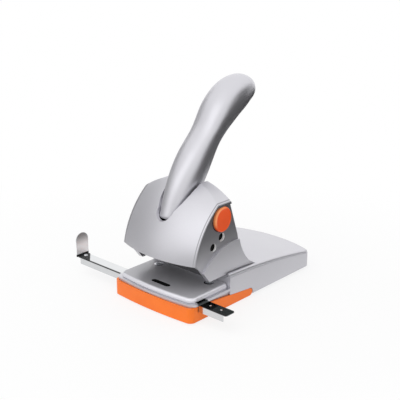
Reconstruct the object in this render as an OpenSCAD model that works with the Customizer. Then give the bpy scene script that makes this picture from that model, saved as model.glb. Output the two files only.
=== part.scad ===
// Heavy-duty two-hole lever punch.
// Millimetres. The table is z = 0, the two punches stand on the line y = 0 and x = 0 is the
// middle plane. The paper goes in from the front, which is -y, and the lever swings to the rear.

/* [Punching] */
// Distance between the two punched holes
hole_spacing = 80; // [72:1:84]
// Diameter of a punch
punch_d = 5.5; // [4.5:0.1:6]
// Distance from the paper stop to the middle of a hole
hole_margin = 12; // [11:0.5:14]
// Height of the paper table
table_z = 28; // [26:0.5:30]
// Height of the slit that the paper goes into
throat_h = 9.7; // [7:0.1:11]

/* [Lever] */
// Swing of the lever from rest to its lower stop, in degrees
lever_swing = 42; // [30:1:44]
// How far the pivot lies in front of the punches
pivot_front = 8; // [7.8:0.1:9]
// Height of the pivot
pivot_z = 76.6; // [76:0.2:78]
// Diameter of the fixed pivot axle
axle_d = 7; // [6:0.5:7]
// Diameter of the press shaft
shaft_d = 10; // [8:0.5:10]
// Distance from the pivot to the press shaft
shaft_reach = 16.6; // [16:0.1:17.5]
// Rise of the line from the pivot to the press shaft at rest, in degrees
shaft_rise = 32.2; // [30:0.2:34]
// Thickness of the steel lever in the middle
tang_t = 10; // [6:0.5:14]
// Thickness of each side link
link_t = 4; // [3:0.5:5]

/* [Handle] */
// Largest width of the grip
grip_w = 44; // [36:1:50]
// Height of the top of the grip
grip_top_z = 248.5; // [225:0.5:260]
// Reach of the grip behind the punches
grip_reach = 127; // [110:1:140]

/* [Head] */
// Width of the head
head_w = 113; // [110:1:118]
// Thickness of the cast walls
head_wall = 3.5; // [2.5:0.1:4]
// Depth of the recess in each side
pocket_depth = 2.5; // [1:0.1:3]
// Radius of the front seen from the side
front_r = 107.2; // [100:0.2:115]
// Bulge of the front across its width
front_bow = 11; // [8:0.5:12]
// Height of the lower lip of the front
lip_z = 64; // [60:0.5:67]
// Height of the crown in the middle
crown_z = 143.5; // [141:0.5:148]
// Drop of the crown from the middle to the sides
crown_drop = 18.5; // [10:0.5:20]

/* [Base] */
// Width of the base
base_w = 124; // [122:1:130]
// Front corners, in front of the punches
base_front = 50; // [48:0.5:56]
// Rear corners, behind the punches
base_rear = 165.5; // [140:0.5:190]
// Bulge of the rear edge
rear_bow = 12; // [4:0.5:16]
// Thickness of the base walls
base_wall = 3; // [2:0.1:4]
// Height of the side wall at the paper stop
side_front_z = 35.6; // [34:0.1:37]
// Width of the paper table
plate_w = 116; // [110:1:119]
// Thickness of the paper table
plate_t = 5.2; // [4:0.1:6]
// Height of the rubber feet
foot_h = 3; // [2:0.1:5]
// Diameter of the rubber feet
foot_d = 16; // [12:0.5:20]

/* [Chip tray] */
// Width of the chip tray
tray_w = 123.4; // [122:0.2:123.6]
// Height of the front wall of the tray
tray_h = 19.3; // [17:0.1:19.6]
// Thickness of the tray walls
tray_wall = 2; // [1.5:0.1:2.2]
// Place of the tray hinge behind the punches
tray_hinge_y = 48; // [46:0.5:56]

/* [Ruler] */
// Width of the sliding ruler
ruler_w = 15; // [12:0.5:16]
// Height of the ruler's front flange
ruler_flange = 8.6; // [6:0.1:8.8]
// Height of the ruler's top face
ruler_z = 21.6; // [20.6:0.1:21.8]
// Left end of the ruler, from the middle
ruler_left = 141; // [120:1:160]
// Right end of the ruler, from the middle
ruler_right = 102.5; // [90:0.5:120]
// Height of the end stop above the ruler
stop_h = 30; // [20:1:40]

/* [Lock button] */
// Diameter of the lock button
button_d = 29.6; // [24:0.2:30]
// Travel of the lock button, which stands out as far as this at rest
button_travel = 3; // [2:0.1:3.2]

/* [Hidden] */
$fn = 64;
fine = 240;                        // sides of large round outlines
very_fine = 720;                   // sides of the long shallow arcs
eps = 0.01;
gap = 0.3;                         // clearance between faces that pass each other
run = 0.05;                        // radial running clearance of a shaft
fit_gap = 0.5;                     // clearance round a piece that only passes through

silver = [0.78, 0.77, 0.79];
silver_dark = [0.62, 0.61, 0.63];
steel = [0.72, 0.73, 0.75];
dark_steel = [0.35, 0.35, 0.37];
orange = [0.96, 0.45, 0.16];
rubber = [0.12, 0.12, 0.12];

// Punches, throat and travel
punch_x = hole_spacing / 2;
punch_r = punch_d / 2;
throat_z = table_z + throat_h;
shaft_y = -pivot_front + shaft_reach * cos(shaft_rise);
shaft_z = pivot_z + shaft_reach * sin(shaft_rise);
axle_r = axle_d / 2;
shaft_r = shaft_d / 2;
bush_r = 5.7;                      // outer radius of the bushes in the sides of the head
bush_bore = 4.9;
travel = shaft_reach * (sin(shaft_rise) - sin(shaft_rise - lever_swing));
tip_recess = 0.2;                  // punch tips rest this far inside the guide

// Head
head_hw = head_w / 2;
pocket_hw = head_hw - pocket_depth;
inner_hw = pocket_hw - head_wall;
front_cy = 64.5 - front_bow;        // middle of the front arc, behind the punches
front_cz = 45.1;                   // height of the middle of the front arc
bow_r = (head_hw * head_hw + front_bow * front_bow) / (2 * front_bow);
bow_cy = front_cy - front_r + bow_r;
crown_r = (head_hw * head_hw + crown_drop * crown_drop) / (2 * crown_drop);
pad_z = side_front_z + 0.7;        // top of the pads that the head stands on
flange_in = inner_hw - 10;         // inner edge of the bolted flange
flange_t = 8;
bolt_x = inner_hw - 5.5;
bolt_ys = [hole_margin + 13, hole_margin + 37];
bolt_r = 2.5;
foot_rear = hole_margin + 50;      // rear end of the head on its pads
cover_rim = 3.2;                   // width of the rim in front of the side recess

// Base
base_hw = base_w / 2;
base_arc_r = 936;                  // long shallow arc of the top edge, seen from the side
arc_steps = 18;                    // straight steps that the arc is drawn with
base_arc_y = -3.7;
base_arc_z = side_front_z - sqrt(pow(base_arc_r, 2) - pow(hole_margin - base_arc_y, 2));
front_bulge = 4.5;
plate_z0 = table_z - plate_t;
frame_top = plate_z0;
frame_z0 = 9.4;
frame_mid = tray_h + 0.5;          // the frame above this height stands over the tray
corner_r = 9;
deck_t = 3;
ruler_front = base_front - 8.4;    // front edge of the ruler, in front of the punches
ruler_rear = ruler_front - ruler_w;
ruler_z0 = ruler_z - ruler_flange;
ruler_t = 1.2;
tray_hw = tray_w / 2;
tray_z0 = 1.4;                     // lowest face of the tray above the table
arm_slope = 0.101;                 // fall of the tray arms' top edge towards the rear
tray_hinge_z = (tray_z0 + arm_top(tray_hinge_y)) / 2;
arm_end_r = (arm_top(tray_hinge_y) - tray_z0) / 2;
rebate_hw = tray_hw - tray_wall - gap;
front_foot = [base_hw - 16, -base_front + 14];
rear_foot = [base_hw - 17, base_rear - 16];
hollow_hw = base_hw - base_wall - 4;
pan_front = hole_margin + base_wall + 0.5;
pan_t = 1.5;
chamber_hw = base_hw - 9;

// Lock button
button_r = button_d / 2;
button_y = 5.1;
button_z = 107.3;
button_t = button_travel + 0.9;
lock_pin = [8, 97];
lock_pin_r = 3;
lock_stem = [4, 115.2];
lock_stem_r = 3;
link_out = inner_hw - 1;           // outer face of the side links
link_in = link_out - link_t;
lock_reach = sqrt(pow(lock_pin[0] + pivot_front, 2) + pow(lock_pin[1] - pivot_z, 2));
lock_turn = atan2(lock_pin[1] - pivot_z, lock_pin[0] + pivot_front) + lever_swing;
bracket_x = link_in - 5.5;         // outer face of the stem bracket
bracket_t = 4;

// Press bar
bar_hw = link_in - 0.9;
bar_z1 = shaft_z - shaft_r - 0.1;
bar_h = 13.5;
bar_z0 = bar_z1 - bar_h;
bar_y0 = -pivot_front + axle_r + 0.5;
bar_y1 = 10;
guide_z1 = throat_z + 11.3;

// Handle: [y, z, half width, half thickness, squareness] along its middle line, from the root
// to the tip. A squareness of 2 is an ellipse.
// The upper stations stretch with the height, the reach and the width of the grip.
grip_dz = grip_top_z - 248.5;
grip_dy = grip_reach - 127;
grip_k = grip_w / 44;
handle_stations = [
    [-19.5, 97.9, 12.8, 15.4, 2.3],
    [0, 132.5, 17, 20.9, 2.3],
    [17 + 0.2 * grip_dy, 160 + 0.25 * grip_dz, 19 * grip_k, 19, 2],
    [39 + 0.4 * grip_dy, 188 + 0.5 * grip_dz, 18.5 * grip_k, 15, 2],
    [62.5 + 0.6 * grip_dy, 213.5 + 0.8 * grip_dz, 21.5 * grip_k, 19, 2],
    [86.5 + 0.8 * grip_dy, 229 + grip_dz, 22 * grip_k, 19.5, 2],
    [115 + grip_dy, 238 + grip_dz, 17 * grip_k, 13, 2]
];
root_round = 3;                    // length over which the root end is rounded
tip_round = 16;                    // length over which the tip is rounded
handle_steps = 5;                  // sections between two stations
handle_sides = 28;

// ---------------------------------------------------------------- shared shapes

// Round bar or hole along x
module along_x(x0, x1, r, y, z, sides = 48) {
    translate([x0, y, z]) rotate([0, 90, 0]) cylinder(r = r, h = x1 - x0, $fn = sides);
}

// Upright round bar or hole
module upright(x, y, z0, z1, r, sides = 48) {
    translate([x, y, z0]) cylinder(r = r, h = z1 - z0, $fn = sides);
}

// Outline drawn as [y, z] points and carried along x
module side_slab(x0, x1) {
    translate([x0, 0, 0]) rotate([90, 0, 90]) linear_extrude(x1 - x0) children();
}

// Outline drawn as [x, z] points and carried along y
module front_slab(y0, y1) {
    translate([0, y1, 0]) rotate([90, 0, 0]) linear_extrude(y1 - y0) children();
}

module both_sides() {
    children();
    mirror([1, 0, 0]) children();
}

function bow_radius(hw, bow) = (hw * hw + bow * bow) / (2 * bow);

// Plan with straight sides, bowed front and rear edges and round corners
module bowed_plan(hw, y0, bow0, r0, y1, bow1, r1) {
    rad0 = bow_radius(hw, bow0);
    rad1 = bow_radius(hw, bow1);
    c0 = y0 - bow0 + rad0;
    c1 = y1 + bow1 - rad1;
    k0 = c0 - sqrt(pow(rad0 - r0, 2) - pow(hw - r0, 2));
    k1 = c1 + sqrt(pow(rad1 - r1, 2) - pow(hw - r1, 2));
    t0 = [(hw - r0) * rad0 / (rad0 - r0), c0 + (k0 - c0) * rad0 / (rad0 - r0)];
    t1 = [(hw - r1) * rad1 / (rad1 - r1), c1 + (k1 - c1) * rad1 / (rad1 - r1)];
    difference() {
        intersection() {
            translate([-hw, y0 - bow0 - 1]) square([2 * hw, y1 + bow1 - y0 + bow0 + 2]);
            translate([0, c0]) circle(rad0, $fn = very_fine);
            translate([0, c1]) circle(rad1, $fn = very_fine);
        }
        for (s = [-1, 1]) {
            difference() {
                polygon([[s * (hw - r0), k0], [s * (hw + 1), k0], [s * (hw + 1), y0 - bow0 - 1],
                         [s * t0[0], y0 - bow0 - 1], [s * t0[0], t0[1]]]);
                translate([s * (hw - r0), k0]) circle(r0);
            }
            difference() {
                polygon([[s * (hw - r1), k1], [s * (hw + 1), k1], [s * (hw + 1), y1 + bow1 + 1],
                         [s * t1[0], y1 + bow1 + 1], [s * t1[0], t1[1]]]);
                translate([s * (hw - r1), k1]) circle(r1);
            }
        }
    }
}

// Plan of the base, drawn in by d
module base_plan(d = 0) {
    bowed_plan(base_hw - d, -base_front + d, front_bulge, corner_r, base_rear - d, rear_bow,
               corner_r);
}

// Space under the long shallow arc, lowered by d. The arc is drawn as short straight steps.
module under_arc(d = 0) {
    y1 = base_rear + rear_bow + 2;
    side_slab(-base_w, base_w) polygon(concat(
        [for (i = [0:arc_steps]) let (y = hole_margin - 2 + (y1 - hole_margin + 2) * i / arc_steps)
            [y, base_arc_z + sqrt(pow(base_arc_r - d, 2) - pow(y - base_arc_y, 2))]],
        [[y1, -60], [hole_margin - 2, -60]]));
}

// ---------------------------------------------------------------- base

// Space of the tray's arms in the sides of the base
module arm_rebate() {
    both_sides() difference() {
        side_slab(rebate_hw, base_hw + 1) union() {
            polygon([[-base_front - front_bulge - 1, -1],
                     [-base_front - front_bulge - 1, tray_h + fit_gap],
                     [-base_front + 13, tray_h + fit_gap],
                     [tray_hinge_y, arm_top(tray_hinge_y) + fit_gap], [tray_hinge_y, -1]]);
            translate([tray_hinge_y, tray_hinge_z]) circle(arm_end_r + fit_gap);
            translate([tray_hinge_y, -1]) square([arm_end_r + fit_gap, tray_hinge_z + 1]);
        }
    }
}

function arm_top(y) = tray_h - arm_slope * (y + base_front - 13);

module base_body() color(silver) difference() {
    union() {
        // rear block under the shallow arc
        intersection() {
            translate([0, 0, foot_h]) linear_extrude(side_front_z + 4) base_plan();
            translate([-base_hw, hole_margin, 0])
                cube([base_w, base_rear + rear_bow, side_front_z + 4]);
            under_arc();
        }
        // low frame under the paper table, drawn in behind the walls of the tray
        translate([0, 0, frame_z0]) linear_extrude(frame_mid - frame_z0 + 1) intersection() {
            base_plan();
            tray_plan(tray_wall + gap);
            front_square();
        }
        translate([0, 0, frame_mid]) linear_extrude(frame_top - frame_mid) intersection() {
            base_plan();
            front_square();
        }
        // pads that the head stands on
        both_sides() translate([flange_in - 1, hole_margin, side_front_z - 6])
            cube([head_hw + 1 - flange_in, foot_rear - hole_margin, pad_z - side_front_z + 6]);
        // posts of the front feet
        both_sides() upright(front_foot[0], front_foot[1], foot_h, frame_z0 + 1, foot_d / 2);
    }
    arm_rebate();
    // hollow of the rear block
    intersection() {
        translate([0, 0, -1]) linear_extrude(side_front_z) base_plan(base_hw - hollow_hw);
        translate([-base_hw, hole_margin + base_wall, -1])
            cube([base_w, base_rear + rear_bow, side_front_z]);
        under_arc(deck_t);
        rear_hollow();
    }
    // chip chamber through the frame
    translate([-chamber_hw, -ruler_rear + 3, -1])
        cube([2 * chamber_hw, hole_margin + ruler_rear - 3 - base_wall, table_z]);
    // channel of the ruler
    translate([-base_hw - 1, -ruler_front - gap, ruler_z0 - gap])
        cube([base_w + 2, ruler_w + 2 * gap, table_z]);
    // bolt holes of the head
    both_sides() for (y = bolt_ys) upright(bolt_x, y, 0, table_z + 20, bolt_r + 0.2, 32);
    // holes of the tray pins
    both_sides() along_x(hollow_hw - 1, base_hw, tray_pin_r, tray_hinge_y, tray_hinge_z, 32);
    // holes of the pan screws
    for (p = pan_screw_places) upright(p[0], p[1], 0, foot_h + 12, 1.5, 24);
}

module front_square() translate([-base_hw, -base_front - front_bulge])
    square([base_w, base_front + front_bulge + hole_margin + eps]);

pan_screw_places = [for (sx = [-1, 1]) for (y = [hole_margin + 50, base_rear - 34])
                    [sx * (hollow_hw - 8), y]];

// Bosses stay standing inside the hollow of the rear block
module rear_hollow() difference() {
    translate([-base_hw, 0, -2]) cube([base_w, base_rear + rear_bow + 1, table_z + 20]);
    both_sides() for (y = bolt_ys) upright(bolt_x, y, table_z - 6, table_z + 20, 7);
    for (p = pan_screw_places) upright(p[0], p[1], foot_h + pan_t, table_z + 20, 4.5);
    both_sides() upright(rear_foot[0], rear_foot[1], foot_h + pan_t, table_z, foot_d / 2 - 2);
}

// Crowned shell on the rear block
module rear_cover() color(silver) difference() {
    intersection() {
        translate([0, cover_arc_y, cover_arc_z]) rotate([0, 90, 0]) rotate([0, 0, 180 - 14])
            rotate_extrude(angle = 28, $fn = very_fine) cover_section($fn = 32);
        linear_extrude(side_front_z + 12) bowed_plan(base_hw - 0.6, -base_front, front_bulge,
            corner_r, base_rear - 0.6, rear_bow, corner_r);
        translate([-base_hw, hole_margin, 0]) cube([base_w, base_rear + rear_bow, 60]);
    }
    under_arc();
    // seat of the head
    translate([-head_hw - 1 - gap, hole_margin - 1, 0])
        cube([2 * (head_hw + 1 + gap), foot_rear - hole_margin + 1 + gap, 60]);
}

cover_edge = 1.2;                  // height of the cover's edge above the side wall
cover_crown = 2.2;                 // rise of the cover from its edge to the middle
cover_round = 2.6;                 // rounding of the cover's long edges
cover_tilt = 9.5;                  // forward shift of the cover's arc, which thins it to the rear
cover_arc_y = base_arc_y - cover_tilt;
cover_arc_z = base_arc_z + 0.9;

// Section of the cover, as [radius, x]
module cover_section() {
    hw = base_hw - 0.6;
    r_edge = base_arc_r + cover_edge;
    crown = bow_radius(hw, cover_crown);
    difference() {
        intersection() {
            translate([base_arc_r - 12, -hw]) square([30, 2 * hw]);
            translate([r_edge + cover_round + cover_crown - crown, 0])
                circle(crown, $fn = very_fine);
        }
        for (s = [-1, 1]) difference() {
            translate([r_edge, s > 0 ? hw - cover_round : -hw - 1])
                square([20, cover_round + 1]);
            translate([r_edge, s * (hw - cover_round)]) circle(cover_round);
        }
    }
}

module bottom_pan() color(dark_steel) difference() {
    translate([0, 0, foot_h]) linear_extrude(pan_t) intersection() {
        base_plan(base_hw - hollow_hw + gap);
        translate([-base_hw, pan_front]) square([base_w, base_rear]);
    }
    for (p = pan_screw_places) upright(p[0], p[1], 0, foot_h + 12, 1.7, 24);
}

module pan_screws() color(steel) for (p = pan_screw_places) {
    upright(p[0], p[1], foot_h - 1.3, foot_h, 3, 24);
    upright(p[0], p[1], foot_h, foot_h + 10, 1.5, 24);
}

// Flat plate with softly rounded upper edges, open at the dies and at the window
module paper_table() color(silver_dark) difference() {
    hull() {
        for (k = [0:plate_steps]) {
            a = 90 * k / plate_steps;
            d = plate_round * (1 - cos(a));
            translate([0, 0, table_z - plate_round * (1 - sin(a)) - 0.1])
                linear_extrude(0.1) table_plan(d);
        }
        translate([0, 0, plate_z0]) linear_extrude(0.1) table_plan(0);
    }
    both_sides() upright(punch_x, 0, plate_z0 - 1, table_z + 1, die_r);
    translate([0, window_y, 0]) {
        translate([-window_l / 2, -window_w / 2, plate_z0 - 1]) cube([window_l, window_w, 9]);
        both_sides() upright(window_l / 2, 0, plate_z0 - 1, table_z + 1, window_w / 2, 32);
    }
}

plate_steps = 4;
plate_round = 3.5;
die_r = 6;
window_l = 21;
window_w = 7;
window_y = -ruler_front + window_w / 2 + 0.6;

// Plan of the paper table, drawn in by d at the front and the sides
module table_plan(d) {
    bowed_plan(plate_w / 2 - d, -base_front + 3 + d, front_bulge, corner_r - d + eps,
               hole_margin - gap - 0.2, 0.2, 2, $fn = 40);
}

module die_bushes() color(steel) both_sides() difference() {
    union() {
        upright(punch_x, 0, plate_z0 - 2.8, table_z, die_r);
        upright(punch_x, 0, plate_z0 - 2.8, plate_z0, die_r + 1.5);
    }
    upright(punch_x, 0, plate_z0 - 4, table_z + 1, punch_r + 0.1);
}

module rubber_feet() color(rubber) both_sides() {
    upright(front_foot[0], front_foot[1], 0, foot_h, foot_d / 2);
    upright(rear_foot[0], rear_foot[1], 0, foot_h, foot_d / 2);
}

// ---------------------------------------------------------------- head

// Solid bounded by the bulging front, which is drawn in by d
module front_solid(d) {
    translate([0, bow_cy, 0]) rotate([0, 0, 200]) rotate_extrude(angle = 140, $fn = very_fine)
        intersection() {
            translate([bow_cy - front_cy, front_cz]) circle(front_r - d, $fn = fine);
            translate([bow_cy - 68, 20]) square([140, 140]);
        }
}

// Solid under the crown, which is drawn in by d
module crown_solid(d, hw) {
    front_slab(-70, 80) intersection() {
        translate([0, crown_z - crown_r]) circle(crown_r - d, $fn = fine);
        translate([-hw, 0]) square([2 * hw, crown_z + 1]);
    }
}

back_top = [18.6, 125];            // upper corner of the back, as [y, z]
back_mid = [34.8, 76.6];           // where the straight back turns into its flare
flare_c = [97, 90.4];              // middle of the flare's arc
flare_r = 64.4;
heel = [-17.2, throat_z + 1.6];    // lower front corner of each foot
knee = [-30, 55.8];                // bend of the feet's front edge
back_slope = (back_mid[0] - back_top[0]) / (back_top[1] - back_mid[1]);

// Side view of the head
module head_outline() difference() {
    polygon([[-60, lip_z], [-39.5, lip_z], knee, heel, [hole_margin + gap, heel[1]],
             [hole_margin + gap, pad_z], [foot_rear + 4, pad_z], [foot_rear + 4, back_mid[1]],
             back_mid, back_top, [back_top[0], 160], [-60, 160]]);
    translate(flare_c) circle(flare_r, $fn = fine);
}

// Side view of the hollow in the head, open below
module hollow_outline() {
    t = head_wall;
    difference() {
        polygon([[-70, 20], [foot_rear + 4, 20], [foot_rear + 4, back_mid[1] - 1],
                 [back_mid[0] - t, back_mid[1] - 1],
                 [back_top[0] - t, back_top[1] - t * back_slope], [back_top[0] - t, 160],
                 [-70, 160]]);
        translate(flare_c) circle(flare_r + t, $fn = fine);
    }
}

// Recess in the side of the head, behind the rim of the front and above the ledge
module pocket_outline() difference() {
    intersection() {
        translate([front_cy + front_bow, front_cz]) circle(front_r - cover_rim, $fn = fine);
        translate([-60, 30]) square([120, pocket_top - 30]);
    }
    translate(ledge_c) circle(ledge_r, $fn = fine);
}

pocket_top = button_z + button_r + 0.4;
ledge_c = [26.8, 6.3];             // middle of the arc of the ledge over the foot
ledge_r = 70;
slot_hw = 11.7;                    // half width of the lever slot at its lower end
slot_z = 102.6;                    // lower end of the lever slot in the front
slot_top_hw = 20.2;                // half width of the lever slot at the crown
back_slot_z = 86.5;                // lower end of the lever slot in the back

// Slot that the handle comes through: a U in the front, open over the crown to the back
module lever_slot() {
    front_slab(-70, 26) union() {
        translate([0, slot_z + slot_hw]) circle(slot_hw);
        polygon([[-slot_hw, slot_z + slot_hw], [-16.4, 122], [-19.5, 131.5],
                 [-slot_top_hw, 138], [-slot_top_hw, 160], [slot_top_hw, 160],
                 [slot_top_hw, 138], [19.5, 131.5], [16.4, 122],
                 [slot_hw, slot_z + slot_hw]]);
    }
    translate([-slot_top_hw, 0, back_slot_z]) cube([2 * slot_top_hw, 60, 80]);
}

module head_housing() color(silver) difference() {
    union() {
        difference() {
            intersection() {
                front_solid(0);
                side_slab(-head_hw, head_hw) head_outline();
                crown_solid(0, head_hw + 1);
            }
            intersection() {
                front_solid(head_wall);
                side_slab(-inner_hw, inner_hw) hollow_outline();
                crown_solid(head_wall, inner_hw + 1);
            }
            lever_slot();
        }
        // flanges bolted to the base
        both_sides() translate([flange_in, hole_margin + gap, pad_z])
            cube([inner_hw + 1 - flange_in, foot_rear - hole_margin - 8, flange_t]);
        // bracket of the button's stem
        intersection() {
            translate([bracket_x - bracket_t, lock_stem[0] - 8, lock_stem[1] - 6])
                cube([bracket_t, 40, 60]);
            side_slab(0, head_hw) head_outline();
            crown_solid(1, head_hw);
            front_solid(1);
        }
    }
    both_sides() side_slab(pocket_hw, head_hw + 1) pocket_outline();
    // bores of the bushes
    both_sides() for (p = [pivot, shaft]) along_x(0, head_hw + 1, bush_r, p[0], p[1]);
    // button
    along_x(inner_hw - 1, head_hw + 1, button_r + gap, button_y, button_z, 96);
    along_x(bracket_x - bracket_t - 1, bracket_x + 1, lock_stem_r + run, lock_stem[0],
            lock_stem[1]);
    // threads of the head bolts and guide screws
    both_sides() for (y = bolt_ys) upright(bolt_x, y, 0, pad_z + flange_t - 1, bolt_r, 32);
    both_sides() upright(guide_screw_x, guide_screw_y, pad_z + 1.5, pad_z + flange_t + 1,
                         guide_screw_r, 32);
}

guide_screw_x = bolt_x;
guide_screw_y = hole_margin + 6;
guide_screw_r = 2;

module head_bolts() color(steel) both_sides() for (y = bolt_ys) {
    upright(bolt_x, y, table_z - 10, table_z - 6, 4.25);
    upright(bolt_x, y, table_z - 6, pad_z + flange_t - 1, bolt_r, 32);
}

// Bar that guides the punches and ends the paper slit, with ears on the flanges
module punch_guide() color(dark_steel) difference() {
    union() {
        translate([-inner_hw, -8, throat_z]) cube([2 * inner_hw, 17.5, guide_z1 - throat_z]);
        both_sides() translate([flange_in, 0, pad_z + flange_t])
            cube([inner_hw - flange_in, hole_margin + 13, guide_z1 - pad_z - flange_t]);
    }
    both_sides() upright(punch_x, 0, throat_z - 1, guide_z1 + 1, punch_r + run);
    both_sides() upright(guide_screw_x, guide_screw_y, throat_z, guide_z1 + 1,
                         guide_screw_r + 0.2, 32);
}

module guide_screws() color(steel) both_sides() {
    upright(guide_screw_x, guide_screw_y, guide_z1, guide_z1 + 2.5, 3.6);
    upright(guide_screw_x, guide_screw_y, pad_z + 1.5, guide_z1, guide_screw_r, 32);
}

module pivot_axle() color(steel)
    along_x(-axle_hw, axle_hw, axle_r, -pivot_front, pivot_z);

axle_hw = inner_hw + 1.5;          // the axle ends inside the pivot bushes

// Two blind bushes that hold the axle, and two open ones at the height of the press shaft
module bushes() color(steel) both_sides() difference() {
    for (p = [pivot, shaft]) along_x(inner_hw, pocket_hw - 0.2, bush_r, p[0], p[1]);
    for (p = [pivot, shaft]) along_x(inner_hw + 1.5, head_hw, bush_bore, p[0], p[1]);
    along_x(0, head_hw, axle_r, -pivot_front, pivot_z);
    along_x(0, head_hw, bush_bore, shaft_y, shaft_z);
}

// ---------------------------------------------------------------- lever

pivot = [-pivot_front, pivot_z];
shaft = [shaft_y, shaft_z];
lock_ear = pivot + lock_reach * [cos(lock_turn), sin(lock_turn)];
hub_r = axle_r + 4.5;
tang_low = [-6, 118];
tang_high = [15, 156];

// Flat strap between two round ends, as [y, z] points and radii
module strap(a, ra, b, rb) {
    d = b - a;
    th = atan2(d[1], d[0]);
    ph = acos((ra - rb) / norm(d));
    translate(a) circle(ra);
    translate(b) circle(rb);
    polygon([a + ra * [cos(th + ph), sin(th + ph)], b + rb * [cos(th + ph), sin(th + ph)],
             b + rb * [cos(th - ph), sin(th - ph)], a + ra * [cos(th - ph), sin(th - ph)]]);
}

// Side view of the steel tang in the handle, grown by d
module tang_outline(d = 0) {
    strap(pivot, hub_r - 0.5 + d, tang_low, 8.5 + d);
    strap(tang_low, 8.5 + d, tang_high, 6.5 + d);
}

module lever_core() color(dark_steel) difference() {
    union() {
        side_slab(-tang_t / 2, tang_t / 2) {
            tang_outline();
            strap(pivot, hub_r - 1.5, shaft, shaft_r + 3.5);
        }
        along_x(-hub_hw, hub_hw, hub_r, -pivot_front, pivot_z);
    }
    along_x(-hub_hw - 1, hub_hw + 1, axle_r + run, -pivot_front, pivot_z);
    along_x(-tang_t, tang_t, shaft_r, shaft_y, shaft_z);
    for (p = [tang_low, tang_high]) along_x(-tang_t, tang_t, handle_pin_r, p[0], p[1], 32);
}

hub_hw = 10;
handle_pin_r = 2.5;
handle_pin_hw = [10, 13];

module side_links() color(dark_steel) both_sides() difference() {
    side_slab(link_in, link_out) {
        strap(pivot, axle_r + 4, shaft, shaft_r + 2.5);
        strap(pivot, axle_r + 4, lock_ear, lock_pin_r + 3);
    }
    along_x(0, head_hw, axle_r + run, -pivot_front, pivot_z);
    along_x(0, head_hw, shaft_r, shaft_y, shaft_z);
    along_x(0, head_hw, lock_pin_r + fit_gap, lock_ear[0], lock_ear[1], 32);
}

module press_shaft() color(steel) union() {
    along_x(-link_out, link_out, shaft_r, shaft_y, shaft_z);
    both_sides() translate([link_out, shaft_y, shaft_z]) rotate([0, 90, 0])
        cylinder(r1 = shaft_r - 0.2, r2 = shaft_r - 0.8, h = 0.6, $fn = 48);
}

// Smooth curve through four neighbouring stations, at share f between the middle two
function spline(p, f) = 0.5 * (2 * p[1] + (p[2] - p[0]) * f
    + (2 * p[0] - 5 * p[1] + 4 * p[2] - p[3]) * f * f
    + (3 * p[1] - p[0] - 3 * p[2] + p[3]) * f * f * f);
function station(i) = let (s = handle_stations, n = len(s))
    i < 0 ? 2 * s[0] - s[1] : i > n - 1 ? 2 * s[n - 1] - s[n - 2] : s[i];
function handle_at(t) = let (i = min(floor(t), len(handle_stations) - 2))
    spline([station(i - 1), station(i), station(i + 1), station(i + 2)], t - i);
function handle_dir(t) = let (d = handle_at(t + 0.01) - handle_at(t - 0.01))
    [d[0], d[1]] / norm([d[0], d[1]]);

// One section of the handle, scaled by k
function squared(c, p) = sign(c) * pow(abs(c), 2 / p);
function handle_ring(t, k) = let (s = handle_at(t), d = handle_dir(t))
    [for (j = [0:handle_sides - 1]) let (a = 360 * j / handle_sides,
            w = s[2] * k * squared(cos(a), s[4]), h = s[3] * k * squared(sin(a), s[4]))
        [w, s[0] - d[1] * h, s[1] + d[0] * h]];

last_t = len(handle_stations) - 1;
root_len = norm([handle_stations[1][0] - handle_stations[0][0],
                 handle_stations[1][1] - handle_stations[0][1]]);
tip_len = norm([handle_stations[last_t][0] - handle_stations[last_t - 1][0],
                handle_stations[last_t][1] - handle_stations[last_t - 1][1]]);
root_steps = 3;
tip_steps = 6;
body_steps = (last_t - 1) * handle_steps;
root_t = root_round / root_len;
tip_t = tip_round / tip_len;
root_share = root_round / handle_stations[0][3];
// Sections as [place along the stations, scale]
handle_cuts = concat(
    [for (k = [0:root_steps - 1]) let (a = 90 * k / root_steps)
        [root_t * (1 - cos(a)), 1 - root_share * (1 - sin(a))]],
    [for (k = [0:body_steps]) [root_t + (last_t - tip_t - root_t) * k / body_steps, 1]],
    [for (k = [1:tip_steps]) let (a = 90 * k / tip_steps * 0.97)
        [last_t - tip_t * (1 - sin(a)), cos(a)]]);

module handle_body() {
    rings = [for (c = handle_cuts) handle_ring(c[0], c[1])];
    n = handle_sides;
    m = len(rings);
    polyhedron(
        points = [for (r = rings) each r],
        faces = concat(
            [[for (j = [0:n - 1]) n - 1 - j]],
            [[for (j = [0:n - 1]) (m - 1) * n + j]],
            [for (i = [0:m - 2]) for (j = [0:n - 1]) each [
                [i * n + j, (i + 1) * n + (j + 1) % n, (i + 1) * n + j],
                [i * n + j, i * n + (j + 1) % n, (i + 1) * n + (j + 1) % n]]]));
}

module handle() color(silver) difference() {
    handle_body();
    side_slab(-tang_t / 2, tang_t / 2) tang_outline(0.1);
    along_x(-hub_hw - fit_gap, hub_hw + fit_gap, hub_r + fit_gap, -pivot_front, pivot_z);
    along_x(-handle_pin_hw[0], handle_pin_hw[0], handle_pin_r, tang_low[0], tang_low[1], 32);
    along_x(-handle_pin_hw[1], handle_pin_hw[1], handle_pin_r, tang_high[0], tang_high[1], 32);
}

module handle_pins() color(steel) {
    along_x(-handle_pin_hw[0], handle_pin_hw[0], handle_pin_r, tang_low[0], tang_low[1], 32);
    along_x(-handle_pin_hw[1], handle_pin_hw[1], handle_pin_r, tang_high[0], tang_high[1], 32);
}

// ---------------------------------------------------------------- punches

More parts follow.
